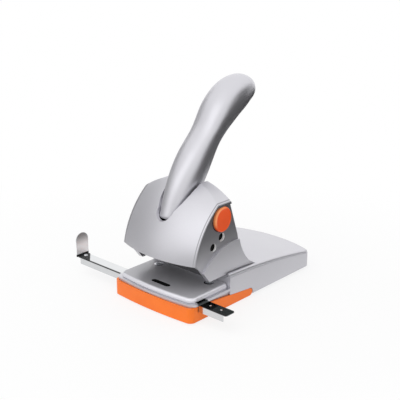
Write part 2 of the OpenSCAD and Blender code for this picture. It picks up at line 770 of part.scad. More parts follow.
module press_bar() color(steel) difference() {
    translate([-bar_hw, bar_y0, bar_z0]) cube([2 * bar_hw, bar_y1 - bar_y0, bar_h]);
    // room for the hub and the tang
    translate([-hub_hw - 1.5, bar_y0 - 1, bar_z0 - 1])
        cube([2 * hub_hw + 3, hub_r + 1 - pivot_front - bar_y0 + 1, bar_h + 2]);
    translate([-hub_hw - 1.5, bar_y0 - 1, shaft_z - shaft_r - 7.5])
        cube([2 * hub_hw + 3, bar_y1 - bar_y0 + 2, bar_h]);
    both_sides() upright(punch_x, 0, bar_z0 - 1, bar_z0 + punch_seat, punch_r);
    both_sides() cross_pin(0);
}

punch_seat = 10;                   // depth of the punches in the press bar
pin_r = 1.2;

module cross_pin(grow) {
    translate([punch_x, bar_y0 - grow, bar_z0 + punch_seat / 2]) rotate([-90, 0, 0])
        cylinder(r = pin_r, h = bar_y1 - bar_y0 + 2 * grow, $fn = 24);
}

// Punch with a hollow-ground tip, so that it shears from two sides
module punch() color(steel) difference() {
    upright(punch_x, 0, throat_z + tip_recess, bar_z0 + punch_seat, punch_r);
    translate([punch_x, -punch_d, throat_z + tip_recess - tip_grind_r + 1]) rotate([-90, 0, 0])
        cylinder(r = tip_grind_r, h = 2 * punch_d, $fn = 64);
    cross_pin(1);
}

tip_grind_r = 4.5;

module punch_right() punch();
module punch_left() mirror([1, 0, 0]) punch();
module punch_pins() color(dark_steel) both_sides() cross_pin(0);

// Coil along z from z = 0 to h, as one tube
module coil(r, wire, h, turns) {
    steps = 14;
    sides = 6;
    m = turns * steps;
    pitch = (h - wire) / turns;
    points = [for (i = [0:m]) let (a = 360 * i / steps, z = wire / 2 + pitch * i / steps)
        each [for (j = [0:sides - 1]) let (b = 360 * j / sides)
            [(r + wire / 2 * cos(b)) * cos(a), (r + wire / 2 * cos(b)) * sin(a),
             z + wire / 2 * sin(b)]]];
    polyhedron(points = points, faces = concat(
        [[for (j = [0:sides - 1]) sides - 1 - j]],
        [[for (j = [0:sides - 1]) m * sides + j]],
        [for (i = [0:m - 1]) for (j = [0:sides - 1]) each [
            [i * sides + j, (i + 1) * sides + (j + 1) % sides, (i + 1) * sides + j],
            [i * sides + j, i * sides + (j + 1) % sides, (i + 1) * sides + (j + 1) % sides]]]));
}

spring_wire = 1;
spring_r = punch_r + 1.9;
spring_turns = 5;

module return_spring_right() color(steel)
    translate([punch_x, 0, guide_z1 + 0.05])
        coil(spring_r, spring_wire, bar_z0 - guide_z1 - 0.1, spring_turns);
module return_spring_left() mirror([1, 0, 0]) return_spring_right();

// ---------------------------------------------------------------- lock button

module lock_button() color(orange) union() {
    difference() {
        along_x(button_in, button_in + button_t, button_r, button_y, button_z, 96);
        // bevelled rim
        translate([button_in + button_t - 1, button_y, button_z]) rotate([0, 90, 0])
            difference() {
                cylinder(r = button_r + 1, h = 2);
                translate([0, 0, -eps]) cylinder(r1 = button_r + eps, r2 = button_r - 1.2,
                                                 h = 1 + 2 * eps, $fn = 96);
            }
    }
    along_x(link_out + 0.6, button_in + eps, lock_pin_r, lock_pin[0], lock_pin[1]);
    difference() {
        along_x(bracket_x - bracket_t - 2.5, button_in + eps, lock_stem_r, lock_stem[0],
                lock_stem[1]);
        translate([ring_x0, lock_stem[0], lock_stem[1]]) rotate([0, 90, 0]) difference() {
            cylinder(r = lock_stem_r + 1, h = ring_t, $fn = 48);
            translate([0, 0, -1]) cylinder(r = lock_stem_r - 0.8, h = ring_t + 2, $fn = 48);
        }
    }
}

button_in = pocket_hw + button_travel - button_t;
ring_t = 0.9;
ring_x0 = bracket_x - bracket_t - 0.1 - ring_t;

module lock_ring() color(steel) translate([ring_x0, lock_stem[0], lock_stem[1]])
    rotate([0, 90, 0]) difference() {
        cylinder(r = lock_stem_r + 2, h = ring_t, $fn = 48);
        translate([0, 0, -1]) cylinder(r = lock_stem_r - 0.8, h = ring_t + 2, $fn = 48);
    }

module lock_spring() color(steel)
    translate([bracket_x + 0.05, lock_stem[0], lock_stem[1]]) rotate([0, 90, 0])
        coil(lock_stem_r + 1, 0.7, button_in - bracket_x - 0.1, 5);

// ---------------------------------------------------------------- ruler

module ruler() color(steel) difference() {
    union() {
        translate([-ruler_left, -ruler_front, ruler_z - ruler_t])
            cube([ruler_left + ruler_right, ruler_w, ruler_t]);
        translate([-ruler_left + 4, -ruler_front, ruler_z0])
            cube([ruler_left + ruler_right - 9, ruler_t, ruler_flange]);
    }
    // clipped corners at the right end
    for (y = [-ruler_front, -ruler_rear]) translate([ruler_right, y, ruler_z]) rotate([0, 0, 45])
        cube([3, 3, 2 * ruler_t + 1], center = true);
    for (x = [ruler_right - 29.5, ruler_right - 14])
        upright(x, -ruler_front + 0.54 * ruler_w, ruler_z - 2, ruler_z + 1, 1.5, 24);
    upright(rivet_x, rivet_y, ruler_z - 2, ruler_z + 1, rivet_r, 24);
}

stop_t = 1;
stop_w = 19;
stop_y = -ruler_front - 2.7;
rivet_x = -ruler_left + 5.5;
rivet_y = -ruler_front + ruler_w / 2;
rivet_r = 1.5;

// Bent plate: a tongue with a round top on a foot with a slanted inner end
module end_stop() color(steel) difference() {
    union() {
        translate([-ruler_left, 0, 0]) side_slab(0, stop_t) union() {
            translate([stop_y, ruler_z]) square([stop_w, stop_h - stop_w / 2]);
            translate([stop_y + stop_w / 2, ruler_z + stop_h - stop_w / 2]) circle(stop_w / 2);
        }
        translate([-ruler_left, 0, ruler_z]) linear_extrude(stop_t)
            polygon([[0, -ruler_front], [22, -ruler_front], [5.5, -ruler_rear],
                     [0, -ruler_rear]]);
    }
    upright(rivet_x, rivet_y, ruler_z - 1, ruler_z + 2 * stop_t, rivet_r, 24);
}

module end_stop_rivet() color(steel) {
    upright(rivet_x, rivet_y, ruler_z - ruler_t - 0.6, ruler_z - ruler_t, 2.4, 24);
    upright(rivet_x, rivet_y, ruler_z - ruler_t, ruler_z + stop_t, rivet_r, 24);
    translate([rivet_x, rivet_y, ruler_z + stop_t])
        cylinder(r1 = 2.6, r2 = 1.6, h = 1, $fn = 24);
}

// Leaf that presses up on the ruler, so that it stays where it is put
module ruler_spring() color(steel) {
    z0 = ruler_z0 - gap;
    z1 = ruler_z - ruler_t - 0.05;
    t = 0.6;
    front_slab(-ruler_rear - 9, -ruler_rear - 3)
        polygon([[-24, z0], [-17, z0], [-6, z1 - t], [6, z1 - t], [17, z0], [24, z0],
                 [24, z0 + t], [17.3, z0 + t], [6.3, z1], [-6.3, z1], [-17.3, z0 + t],
                 [-24, z0 + t]]);
}

// ---------------------------------------------------------------- chip tray

module tray_plan(d) {
    bowed_plan(tray_hw - d, -base_front - 3 + d, front_bulge - 1, corner_r - 2 - d * 0.4,
               tray_hinge_y + 20, 0.4, 1);
}

// Side view of the tray with its arms
module tray_profile() polygon(concat(
    [[-base_front - 9, tray_z0], [-base_front - 9, tray_h], [-base_front + 13, tray_h]],
    // round ends of the arms
    [for (k = [0:arm_end_steps]) let (a = 90 - 180 * k / arm_end_steps)
        [tray_hinge_y + arm_end_r * cos(a), tray_hinge_z + arm_end_r * sin(a)]]));

arm_end_steps = 12;

module chip_tray() color(orange) difference() {
    intersection() {
        linear_extrude(tray_h) tray_plan(0);
        side_slab(-tray_hw, tray_hw) tray_profile();
        union() {
            linear_extrude(tray_z0 + tray_wall) square(4 * tray_hw, center = true);
            difference() {
                translate([-2 * tray_hw, -2 * tray_hw, 0]) cube([4 * tray_hw, 4 * tray_hw, 30]);
                difference() {
                    linear_extrude(30) tray_plan(tray_wall);
                    tray_inner_walls();
                }
            }
        }
    }
    // open behind the rear wall, between the arms
    translate([-tray_hw + arm_t, tray_back, -1]) cube([2 * (tray_hw - arm_t), 99, 30]);
    both_sides() upright(front_foot[0], front_foot[1], -1, 20, foot_d / 2 + 1.5);
    // notch of the ruler
    translate([-tray_hw - 1, -ruler_front - 0.6, ruler_z0 - 0.6])
        cube([2 * tray_hw + 2, ruler_w + 1.2, 10]);
    both_sides() along_x(rebate_hw - 1, tray_hw - 0.6, tray_pin_r + run, tray_hinge_y,
                         tray_hinge_z, 32);
}

tray_back = hole_margin - 0.7;
arm_t = tray_wall - 0.1;           // thickness of the arms
tray_pin_r = 2;

// Rear wall of the chip box and collars round the front feet
module tray_inner_walls() {
    translate([-tray_hw, tray_back - tray_wall, 0])
        cube([2 * tray_hw, tray_wall + 1, frame_z0 - 0.5]);
    both_sides() upright(front_foot[0], front_foot[1], 0, frame_z0 - 2, foot_d / 2 + 3);
}

module tray_pins() color(steel) both_sides()
    along_x(hollow_hw, tray_hw - 0.7, tray_pin_r, tray_hinge_y, tray_hinge_z, 32);

base_body();
rear_cover();
bottom_pan();
pan_screws();
paper_table();
die_bushes();
rubber_feet();
head_housing();
head_bolts();
punch_guide();
guide_screws();
bushes();
pivot_axle();
lever_core();
side_links();
press_shaft();
handle();
handle_pins();
press_bar();
punch_left();
punch_right();
punch_pins();
return_spring_left();
return_spring_right();
lock_button();
lock_ring();
lock_spring();
ruler();
end_stop();
end_stop_rivet();
ruler_spring();
chip_tray();
tray_pins();
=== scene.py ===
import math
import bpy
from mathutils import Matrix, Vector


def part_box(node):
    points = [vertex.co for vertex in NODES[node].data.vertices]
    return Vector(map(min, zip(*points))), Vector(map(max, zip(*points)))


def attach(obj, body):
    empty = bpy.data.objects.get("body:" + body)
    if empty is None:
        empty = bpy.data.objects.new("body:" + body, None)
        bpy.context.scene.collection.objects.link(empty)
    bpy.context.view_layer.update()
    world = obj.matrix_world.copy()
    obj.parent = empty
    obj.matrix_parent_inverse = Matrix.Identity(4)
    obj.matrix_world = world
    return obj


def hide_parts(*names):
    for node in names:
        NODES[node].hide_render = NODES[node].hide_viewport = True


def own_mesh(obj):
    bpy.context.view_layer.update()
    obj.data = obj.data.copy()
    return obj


bl_info = {
    "name": "Lever punch dressing",
    "version": (1, 0, 0),
    "blender": (4, 5, 0),
    "location": "3D View > Sidebar > Lever punch",
    "description": "Gives the packed two-hole lever punch its surfaces, finishes, light and "
                   "camera",
    "category": "Object",
}

import bmesh
import bpy
import numpy as np
from bpy.props import FloatProperty, FloatVectorProperty, IntProperty, PointerProperty
from bpy.types import Operator, Panel, PropertyGroup
from mathutils import Vector

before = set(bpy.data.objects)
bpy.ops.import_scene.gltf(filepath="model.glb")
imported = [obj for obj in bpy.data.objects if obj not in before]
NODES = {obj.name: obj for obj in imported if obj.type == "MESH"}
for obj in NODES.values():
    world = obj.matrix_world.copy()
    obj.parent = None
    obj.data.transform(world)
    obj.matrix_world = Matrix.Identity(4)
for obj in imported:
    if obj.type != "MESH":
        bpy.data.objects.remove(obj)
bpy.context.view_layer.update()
MM = 0.001
TAU = 2 * math.pi
# Points that are nearer than this, in metres, are one, and faces that are this flat are one
MERGE = 2e-6
FLAT_ANGLE = math.radians(0.2)

# The part's own sizes in millimetres, as its construction states them
PUNCH_X = 40.0
TABLE_TOP, TABLE_THICK = 28.0, 5.2
TABLE_HW, TABLE_CORNER, TABLE_RIM = 58.0, 9.0, 3.5
TABLE_FRONT, TABLE_FRONT_BOW = -47.0, 4.5
TABLE_REAR, TABLE_REAR_BOW, TABLE_REAR_CORNER = 11.5, 0.2, 2.0
WINDOW_Y, WINDOW_HALF, WINDOW_R = -37.5, 10.5, 3.5
DIE_R = 6.0
DIE_RING = ((20.0, 2.85), (27.4, 2.85), (27.75, 3.0), (28.0, 3.3), (28.0, 5.7),
            (27.8, 6.0), (22.8, 6.0), (22.8, 7.5), (20.0, 7.5), (20.0, 2.85))
HEAD_HW, RECESS_HW = 56.5, 54.0
RECESS_AT, RECESS_R, RECESS_TOP = (64.5, 45.1), 104.0, 122.5
PIVOT = (-8.0, 76.6)
SHAFT = (6.05, 85.45)
BUSH_R, BUSH_BORE = 5.7, 4.9
BUSH_IN, BUSH_OUT = 50.5, 53.8
BUSH_SEAT, BUSH_LIP, AXLE_HOLE = 0.4, 0.4, 3.5
BUTTON_AT = (5.1, 107.3)
BUTTON_R, BUTTON_RIM = 14.8, 1.7
BUTTON_IN, BUTTON_OUT = 53.1, 57.0
LOCK_PIN, LOCK_PIN_IN = (8.0, 97.0), 50.1
LOCK_STEM, LOCK_STEM_IN = (4.0, 115.2), 33.5
LOCK_PIN_R = 3.0
COVER_HW, COVER_IN = 61.4, 57.85
COVER_FRONT, COVER_STEP, COVER_LIP = 12.0, 62.3, 2.2
ARC_R = 936.0
ARC_Y, ARC_Z = -3.7, -900.268
CROWN_BACK, CROWN_UP = 9.5, 0.9
FEET = ((46.0, -36.0), (45.0, 149.5))
FOOT_R, FOOT_H = 8.0, 3.0
SPRING_Z0, SPRING_Z1 = 49.05, 66.80
SPRING_R, SPRING_WIRE = 4.65, 1.0
LOCK_SPRING_R, LOCK_SPRING_WIRE = 4.0, 0.7
SPRING_TURNS, COIL_STEPS, COIL_SIDES = 5, 36, 12

# The button's cap is drawn in to an oval along y and moved back, as the photograph shows it
BUTTON_SHIFT, BUTTON_SHARE = 0.6, 0.92
# Stations of the grip as [y, z, half width, half thickness, squareness], from root to tip
GRIP = np.array([
    [-19.5, 97.9, 12.8, 15.4, 2.3],
    [0.0, 132.5, 17.0, 20.9, 2.3],
    [17.0, 160.0, 19.0, 19.0, 2.5],
    [39.0, 188.0, 18.5, 15.0, 2.6],
    [62.5, 213.5, 21.5, 19.0, 2.5],
    [86.5, 229.0, 22.0, 19.47, 2.25],
    [115.0, 238.0, 17.0, 13.0, 2.0],
])
# Lengths over which the grip is rounded at its root and at its tip
GRIP_ROOT, GRIP_TIP = 3.0, 16.0

# Cards that only reflections show: name, finish and two opposite corners in metres
CARDS = (
    ("flag", "dark_card", (0.9, 0.3, 0.0), (0.9, 1.6, 0.9)),
    ("flag_foot", "dark_card", (0.16, 0.0, 0.003), (0.9, 1.6, 0.003)),
    ("front_card", "grey_card", (-0.8, -0.9, 0.002), (0.5, -0.17, 0.002)),
    ("front_right_card", "grey_card", (-0.2, -1.1, 0.0), (0.8, -1.1, 0.32)),
    ("left_foot", "grey_card", (-0.9, -0.2, 0.002), (-0.3, 0.5, 0.002)),
    ("rear_foot", "dark_card", (-0.2, 0.32, 0.003), (0.16, 1.6, 0.003)),
    ("side_card", "grey_card", (-0.9, -1.0, 0.0), (-0.9, 0.3, 0.8)),
)
# Places in metres, the camera's two angles in degrees and its lens in millimetres
FLOOR_HALF = 5.0
LIGHT_AIM = (0.0, 0.04, 0.1)
CAMERA_AT = (0.6479, -0.6809, 0.4458)
CAMERA_DOWN, CAMERA_TURN, CAMERA_LENS = 19.21, 42.39, 78.57


# ---------------------------------------------------------------- meshes


class Shell:
    """Gathers grids of points, in millimetres, into one mesh."""

    def __init__(self):
        self.points, self.faces, self.count = [], [], 0

    def grid(self, points, wrap=False, caps=False):
        """Adds a grid of rows by columns as quads. wrap joins each row's end to its start, and
        caps closes the first and the last row with one face each."""
        rows, cols = points.shape[:2]
        index = np.arange(rows * cols).reshape(rows, cols) + self.count
        across = np.concatenate([index, index[:, :1]], axis=1) if wrap else index
        quads = np.stack([across[:-1, :-1], across[:-1, 1:], across[1:, 1:], across[1:, :-1]], -1)
        self.faces += quads.reshape(-1, 4).tolist()
        if caps:
            self.faces += [index[0][::-1].tolist(), index[-1].tolist()]
        self.points.append(points.reshape(-1, 3))
        self.count += rows * cols
        return self

    def join(self, other):
        """Adds all that another shell holds."""
        self.faces += [[i + self.count for i in face] for face in other.faces]
        self.points += other.points
        self.count += other.count
        return self

    def mesh(self, name):
        """The gathered mesh in metres, with doubles merged and all faces turned outwards."""
        mesh = bpy.data.meshes.new(name)
        mesh.from_pydata((np.concatenate(self.points) * MM).tolist(), [], self.faces)
        return closed(mesh)


def solid(points, name):
    """The closed mesh of a grid that is wrapped round and has a face at either end."""
    return Shell().grid(points, wrap=True, caps=True).mesh(name)


def closed(mesh):
    """Merges doubles, drops what has no area and turns the faces outwards."""
    work = bmesh.new()
    work.from_mesh(mesh)
    bmesh.ops.remove_doubles(work, verts=work.verts, dist=MERGE)
    bmesh.ops.dissolve_degenerate(work, edges=work.edges, dist=MERGE / 2)
    bmesh.ops.recalc_face_normals(work, faces=work.faces)
    work.to_mesh(mesh)
    work.free()
    return mesh


def node_copy(node, name):
    """A merged copy of a construction node, with its flat faces joined into whole ones."""
    source = NODES[node].data
    mesh = bpy.data.meshes.new(name)
    mesh.from_pydata([v.co[:] for v in source.vertices], [],
                     [face.vertices[:] for face in source.polygons])
    work = bmesh.new()
    work.from_mesh(mesh)
    bmesh.ops.remove_doubles(work, verts=work.verts, dist=MERGE)
    bmesh.ops.dissolve_limit(work, angle_limit=FLAT_ANGLE, verts=work.verts, edges=work.edges)
    work.to_mesh(mesh)
    work.free()
    return mesh


def piece(name, mesh, material, body, replaced, sharp=35.0):
    """Puts a mesh into the scene as a piece that rides on a body and stands for nodes."""
    obj = bpy.data.objects.new(name, mesh)
    bpy.context.scene.collection.objects.link(obj)
    mesh.materials.clear()
    mesh.materials.append(material)
    mesh.shade_smooth()
    mesh.set_sharp_from_angle(angle=math.radians(sharp))
    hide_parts(*replaced)
    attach(obj, body)
    return obj


def recast(name, node, material, body, width):
    """Puts a construction node's own shape into the scene as a piece with soft edges."""
    return soften(piece(name, node_copy(node, name), material, body, [node]), width)


def soften(obj, width, angle=40.0):
    """Rounds the edges of a piece by a width in millimetres."""
    bevel = obj.modifiers.new("Soft edges", "BEVEL")
    bevel.width = width * MM
    bevel.segments = 2
    bevel.limit_method = "ANGLE"
    bevel.angle_limit = math.radians(angle)
    bevel.harden_normals = True
    bevel.use_clamp_overlap = True
    return obj


def carve(obj, *cutters):
    """Cuts closed meshes out of a piece for good."""
    for number, mesh in enumerate(cutters):
        tool = bpy.data.objects.new(f"{obj.name}_cut_{number}", mesh)
        bpy.context.scene.collection.objects.link(tool)
        cut = obj.modifiers.new("Cut", "BOOLEAN")
        cut.object = tool
        cut.solver = "EXACT"
        bpy.context.view_layer.update()
        ready = obj.evaluated_get(bpy.context.evaluated_depsgraph_get())
        done = bpy.data.meshes.new_from_object(ready)
        obj.modifiers.remove(cut)
        bpy.data.objects.remove(tool)
        obj.data = done
    return obj


def arc(centre, radius, start, stop, count):
    """Points on a circle's arc between two angles in degrees, as rows of two numbers."""
    a = np.radians(np.linspace(start, stop, count))
    return np.stack([centre[0] + radius * np.cos(a), centre[1] + radius * np.sin(a)], -1)


def turned(profile, centre, axis, sides=96):
    """Surface of revolution about the axis x or z. The profile's rows are [place along the axis,
    radius]. Each point keeps its place and goes round the axis at its radius, in even steps."""
    profile = np.asarray(profile, float)
    a = np.linspace(0, TAU, sides, endpoint=False)
    along = np.repeat(profile[:, :1], sides, axis=1)
    c, s = profile[:, 1:] * np.cos(a), profile[:, 1:] * np.sin(a)
    x, y, z = centre
    if axis == "x":
        return np.stack([x + along, y + c, z + s], -1)
    return np.stack([x + c, y + s, z + along], -1)


def rounded_profile(low, high, radius, edge):
    """Profile of a pin from low to high: a straight side between two quarter circles of the
    radius edge, closed by flat ends."""
    start = arc((low + edge, radius - edge), edge, 180, 90, 5)
    stop = arc((high - edge, radius - edge), edge, 90, 0, 5)
    return np.concatenate([[[low, 0]], start, stop, [[high, 0]]])


def coil(radius, wire, length, turns):
    """Round wire on a helix along z from 0. At turn t the wire's middle is at the angle 360 t and
    at the height that grows evenly with t, and each ring stands upright on that circle."""
    t = np.linspace(0, turns, turns * COIL_STEPS + 1)[:, None]
    b = np.linspace(0, TAU, COIL_SIDES, endpoint=False)[None, :]
    middle = wire / 2 + (length - wire) * t / turns
    reach = radius + wire / 2 * np.cos(b)
    return np.stack([reach * np.cos(TAU * t), reach * np.sin(TAU * t),
                     middle + wire / 2 * np.sin(b)], -1)


def plan_outline(hw, y0, bow0, r0, y1, bow1, r1, count):
    """Closed plan with straight sides, bowed front and rear and round corners, as [x, y] rows.
    Each bow is the arc through its two corners and its middle, and each corner's circle touches
    the side and the bow."""
    rad0, rad1 = (hw * hw + bow0 * bow0) / (2 * bow0), (hw * hw + bow1 * bow1) / (2 * bow1)
    c0, c1 = y0 - bow0 + rad0, y1 + bow1 - rad1
    k0 = c0 - math.sqrt((rad0 - r0) ** 2 - (hw - r0) ** 2)
    k1 = c1 + math.sqrt((rad1 - r1) ** 2 - (hw - r1) ** 2)
    a0 = math.degrees(math.atan2(k0 - c0, hw - r0))
    a1 = math.degrees(math.atan2(k1 - c1, hw - r1))
    right = [arc((0, c0), rad0, -90, a0, count)[:-1], arc((hw - r0, k0), r0, a0, 0, count),
             arc((hw - r1, k1), r1, 0, a1, count), arc((0, c1), rad1, a1, 90, count)[1:]]
    half = np.concatenate(right)
    mirrored = half[::-1][1:-1] * [-1, 1]
    return np.concatenate([half, mirrored])


# ---------------------------------------------------------------- finishes


class Signal:
    """One output socket. Python's operators on it add Math nodes."""

    def __init__(self, tree, socket):
        self.tree, self.socket = tree, socket

    def math(self, operation, *values):
        return self.tree.node("ShaderNodeMath", {"operation": operation}, dict(enumerate(values)))

    def __add__(self, other):
        return self.math("ADD", self, other)

    def __sub__(self, other):
        return self.math("SUBTRACT", self, other)

    def __rsub__(self, other):
        return self.math("SUBTRACT", other, self)

    def __mul__(self, other):
        return self.math("MULTIPLY", self, other)

    def __truediv__(self, other):
        return self.math("DIVIDE", self, other)

    def __pow__(self, other):
        return self.math("POWER", self, other)

    def __abs__(self):
        return self.math("ABSOLUTE", self)

    __radd__ = __add__
    __rmul__ = __mul__

    def greater(self, other):
        return self.math("MAXIMUM", self, other)

    def between(self, low, high):
        """0 below low and 1 above high, with a smooth step between them."""
        return self.tree.node("ShaderNodeMapRange", {"interpolation_type": "SMOOTHSTEP"},
                              {"Value": self, "From Min": low, "From Max": high})

    def rise(self, low, high):
        """The same step for a place, between two places in millimetres."""
        return self.between(low * MM, high * MM)


class Tree:
    """A node tree that nodes are added to by type, settings and inputs."""

    def __init__(self, tree):
        self.tree = tree

    def node(self, kind, settings=None, inputs=None, out=0):
        node = self.tree.nodes.new(kind)
        for key, value in (settings or {}).items():
            setattr(node, key, value)
        for key, value in (inputs or {}).items():
            if isinstance(value, Signal):
                self.tree.links.new(value.socket, node.inputs[key])
            else:
                node.inputs[key].default_value = value
        return Signal(self, node.outputs[out])


class Finish(Tree):
    """A material with a Principled shader, whose fixed sockets are set once."""

    def __init__(self, name, **fixed):
        self.material = bpy.data.materials.new(name)
        self.material.use_nodes = True
        super().__init__(self.material.node_tree)
        self.shader = self.tree.nodes["Principled BSDF"]
        for socket, value in fixed.items():
            self.shader.inputs[socket.replace("_", " ")].default_value = value
        self.place = self.node("ShaderNodeTexCoord", out="Object")
        parts = self.tree.nodes.new("ShaderNodeSeparateXYZ")
        self.tree.links.new(self.place.socket, parts.inputs[0])
        self.x, self.y, self.z = (Signal(self, parts.outputs[i]) for i in range(3))

    def stretched(self, factors):
        return self.node("ShaderNodeVectorMath", {"operation": "MULTIPLY"},
                         {0: self.place, 1: factors})

    def noise(self, scale, detail, roughness=0.5, place=None):
        return self.node("ShaderNodeTexNoise", None,
                         {"Vector": place or self.place, "Scale": scale, "Detail": detail,
                          "Roughness": roughness})

    def mix(self, factor, first, second):
        return self.node("ShaderNodeMix", {"data_type": "RGBA"}, {0: factor, 6: first, 7: second},
                         out=2)

    def bump(self, height, depth):
        """Bump of a height signal, with its depth in millimetres."""
        return self.node("ShaderNodeBump", None, {"Height": height, "Distance": depth * MM,
                                                  "Strength": 1.0})

    def feed(self, **signals):
        for socket, signal in signals.items():
            self.tree.links.new(signal.socket, self.shader.inputs[socket.replace("_", " ")])
        return self.material


def tone(colour, factor=1.0):
    """A colour with its alpha, made lighter or darker."""
    return (*(min(1.0, c * factor) for c in colour), 1.0)


def silver_paint(name, colour, metallic=0.85, roughness=0.38, recess_shade=0.0, window_shade=False):
    """Metallic paint: fine flake in its colour, a slow drift and a faint orange peel. For the
    head it also paints shade on the recessed sides and a painted shade line along the edge round
    them, less towards their foot. For the base it paints near-black shade on what lies below the
    window of the paper table."""
    paint = Finish(name, Metallic=metallic, Coat_Weight=0.1, Coat_Roughness=0.15)
    flake, drift = paint.noise(2600, 1.0), paint.noise(14, 3.0)
    base = paint.mix(flake, tone(colour, 0.92), tone(colour, 1.07))
    base = paint.mix(drift.between(0.35, 0.7) * 0.2, base, tone(colour, 0.93))
    # painted shade: the recessed sides of the head and a line along their outer edge are painted
    # darker, less towards their foot
    if recess_shade:
        side = abs(paint.x)
        painted_shade = side.rise(RECESS_HW - 1.0, RECESS_HW - 0.2) * (
            1 - side.rise(RECESS_HW + 0.2, RECESS_HW + 0.9))
        y, z = paint.y - RECESS_AT[0] * MM, paint.z - RECESS_AT[1] * MM
        front = ((y * y + z * z) ** 0.5).rise(RECESS_R - 0.4, RECESS_R + 0.2)
        shaded_edge = front.greater(paint.z.rise(RECESS_TOP - 0.7, RECESS_TOP + 0.1))
        painted_shade = painted_shade + shaded_edge * side.rise(HEAD_HW - 1.3, HEAD_HW - 0.6)
        base = paint.mix(painted_shade * paint.z.rise(45, 95) * recess_shade, base, tone(colour, 0.3))
    # painted shade: what lies below the window of the paper table is painted near black
    if window_shade:
        end, under = WINDOW_HALF + WINDOW_R, TABLE_TOP - TABLE_THICK
        across = abs(paint.x).rise(end + 0.5, end + 1.5)
        along = abs(paint.y - WINDOW_Y * MM).rise(WINDOW_R + 0.5, WINDOW_R + 1.5)
        above = paint.z.rise(under + 0.4, under + 0.8)
        base = paint.mix((1 - along) * (1 - above) * (1 - across), base, tone(colour, 0.01))
    return paint.feed(
        Base_Color=base,
        Roughness=roughness + drift * 0.06 + flake * 0.03,
        Normal=paint.bump(paint.noise(420, 2.0), 0.012))


def table_paint(name, colour):
    """Hard gloss paint, with rub marks that fan out round the dies. Its rim is painted paler than
    its flat as a painted highlight, its flat carries painted light that is a little paler on the
    right, and the walls of its window carry painted shade, near black."""
    paint = Finish(name, Metallic=0.35, Coat_Weight=0.15, Coat_Roughness=0.1)
    drift = paint.noise(30, 3.0)
    rubs = paint.noise(300, 3.0, place=paint.stretched((0.25, 6.0, 1.0))).between(0.62, 0.75)
    side = abs(paint.x) - PUNCH_X * MM
    reach = (side * side + paint.y * paint.y) ** 0.5
    worn = (1 - reach.rise(7, 22)) * 0.6 + 0.12
    # painted light: the flat is painted darker on the left and paler on the right
    middle = paint.mix(paint.x.rise(-40, 45), tone(colour, 0.78), tone(colour, 1.2))
    # painted highlight: all below the top's last millimetre, the rounded rim with it, is painted
    # paler
    base = paint.mix(paint.z.rise(TABLE_TOP - 1, TABLE_TOP - 0.1), tone(colour, 1.4), middle)
    # painted shade: the walls of the window are painted near black
    past = (abs(paint.x) - WINDOW_HALF * MM).greater(0.0)
    off = paint.y - WINDOW_Y * MM
    outside = ((past * past + off * off) ** 0.5).rise(WINDOW_R + 0.2, WINDOW_R + 0.6)
    above = paint.z.rise(TABLE_TOP - 0.5, TABLE_TOP - 0.1)
    base = paint.mix((1 - outside) * (1 - above), base, tone(colour, 0.02))
    return paint.feed(
        Base_Color=paint.mix(rubs * worn, base, tone(colour, 1.1)),
        Roughness=0.33 + drift * 0.08 + rubs * worn * 0.2,
        Normal=paint.bump(paint.noise(500, 2.0) + rubs * 0.3, 0.006))


def gloss_plastic(name, colour, roughness=0.28, rim=None):
    """Moulded gloss plastic: a slight cloud in its colour and a fine moulded skin. A button gets
    a
    painted highlight: a paler colour along the upper front of its rim."""
    plastic = Finish(name, Specular_IOR_Level=0.35, IOR=1.5)
    cloud, skin = plastic.noise(45, 4.0), plastic.noise(1600, 2.0)
    base = plastic.mix(cloud.between(0.3, 0.75), tone(colour, 0.94), tone(colour, 1.05))
    # painted highlight along the upper front of the button's rim
    if rim is not None:
        y = (plastic.y - (BUTTON_AT[0] + BUTTON_SHIFT) * MM) / BUTTON_SHARE
        z = plastic.z - BUTTON_AT[1] * MM
        ring = ((y * y + z * z) ** 0.5).rise(BUTTON_R - 3.0, BUTTON_R - 1.8)
        base = plastic.mix(ring * (z - y).rise(2, 16), base, tone(rim))
    return plastic.feed(
        Base_Color=base,
        Roughness=roughness + cloud * 0.08,
        Normal=plastic.bump(skin, 0.008))


def brushed_steel(name, colour, grain=(1.0, 40.0, 40.0), roughness=0.2, metallic=1.0):
    """Ground steel: fine lines along one direction that change its gloss."""
    steel = Finish(name, Metallic=metallic)
    lines = steel.noise(60, 4.0, 0.6, steel.stretched(grain))
    stain = steel.noise(50, 3.0)
    return steel.feed(
        Base_Color=steel.mix(stain.between(0.4, 0.75) * 0.5, tone(colour), tone(colour, 0.82)),
        Roughness=roughness + lines * 0.16,
        Normal=steel.bump(lines, 0.01))


def bright_zinc(name, colour, shade):
    """Bright plated sheet: nearly a mirror, with faint rolling lines and a soft bloom. The top
    of the ruler carries a painted dark reflection from the table on, and a painted shade line
    runs along its bend."""
    zinc = Finish(name, Metallic=1.0)
    bloom, lines = zinc.noise(70, 3.0), zinc.noise(90, 3.0, 0.6, zinc.stretched((1, 30, 30)))
    base = zinc.mix(bloom.between(0.4, 0.8) * 0.4, tone(colour), tone(colour, 0.9))
    low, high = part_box("ruler")
    top, front = high.z / MM, low.y / MM
    # painted dark reflection on the ruler's top, from the table on
    base = zinc.mix(zinc.x.rise(-48, -24) * zinc.z.rise(top - 0.6, top - 0.3), base, tone(shade))
    # painted shade: a dark line along the ruler's front bend
    bend = zinc.z.rise(top - 1.2, top - 0.8) * (1 - zinc.y.rise(front + 1.3, front + 1.9))
    return zinc.feed(
        Base_Color=zinc.mix(bend, base, tone(colour, 0.08)),
        Roughness=0.05 + bloom * 0.05 + lines * 0.03,
        Normal=zinc.bump(lines, 0.004))


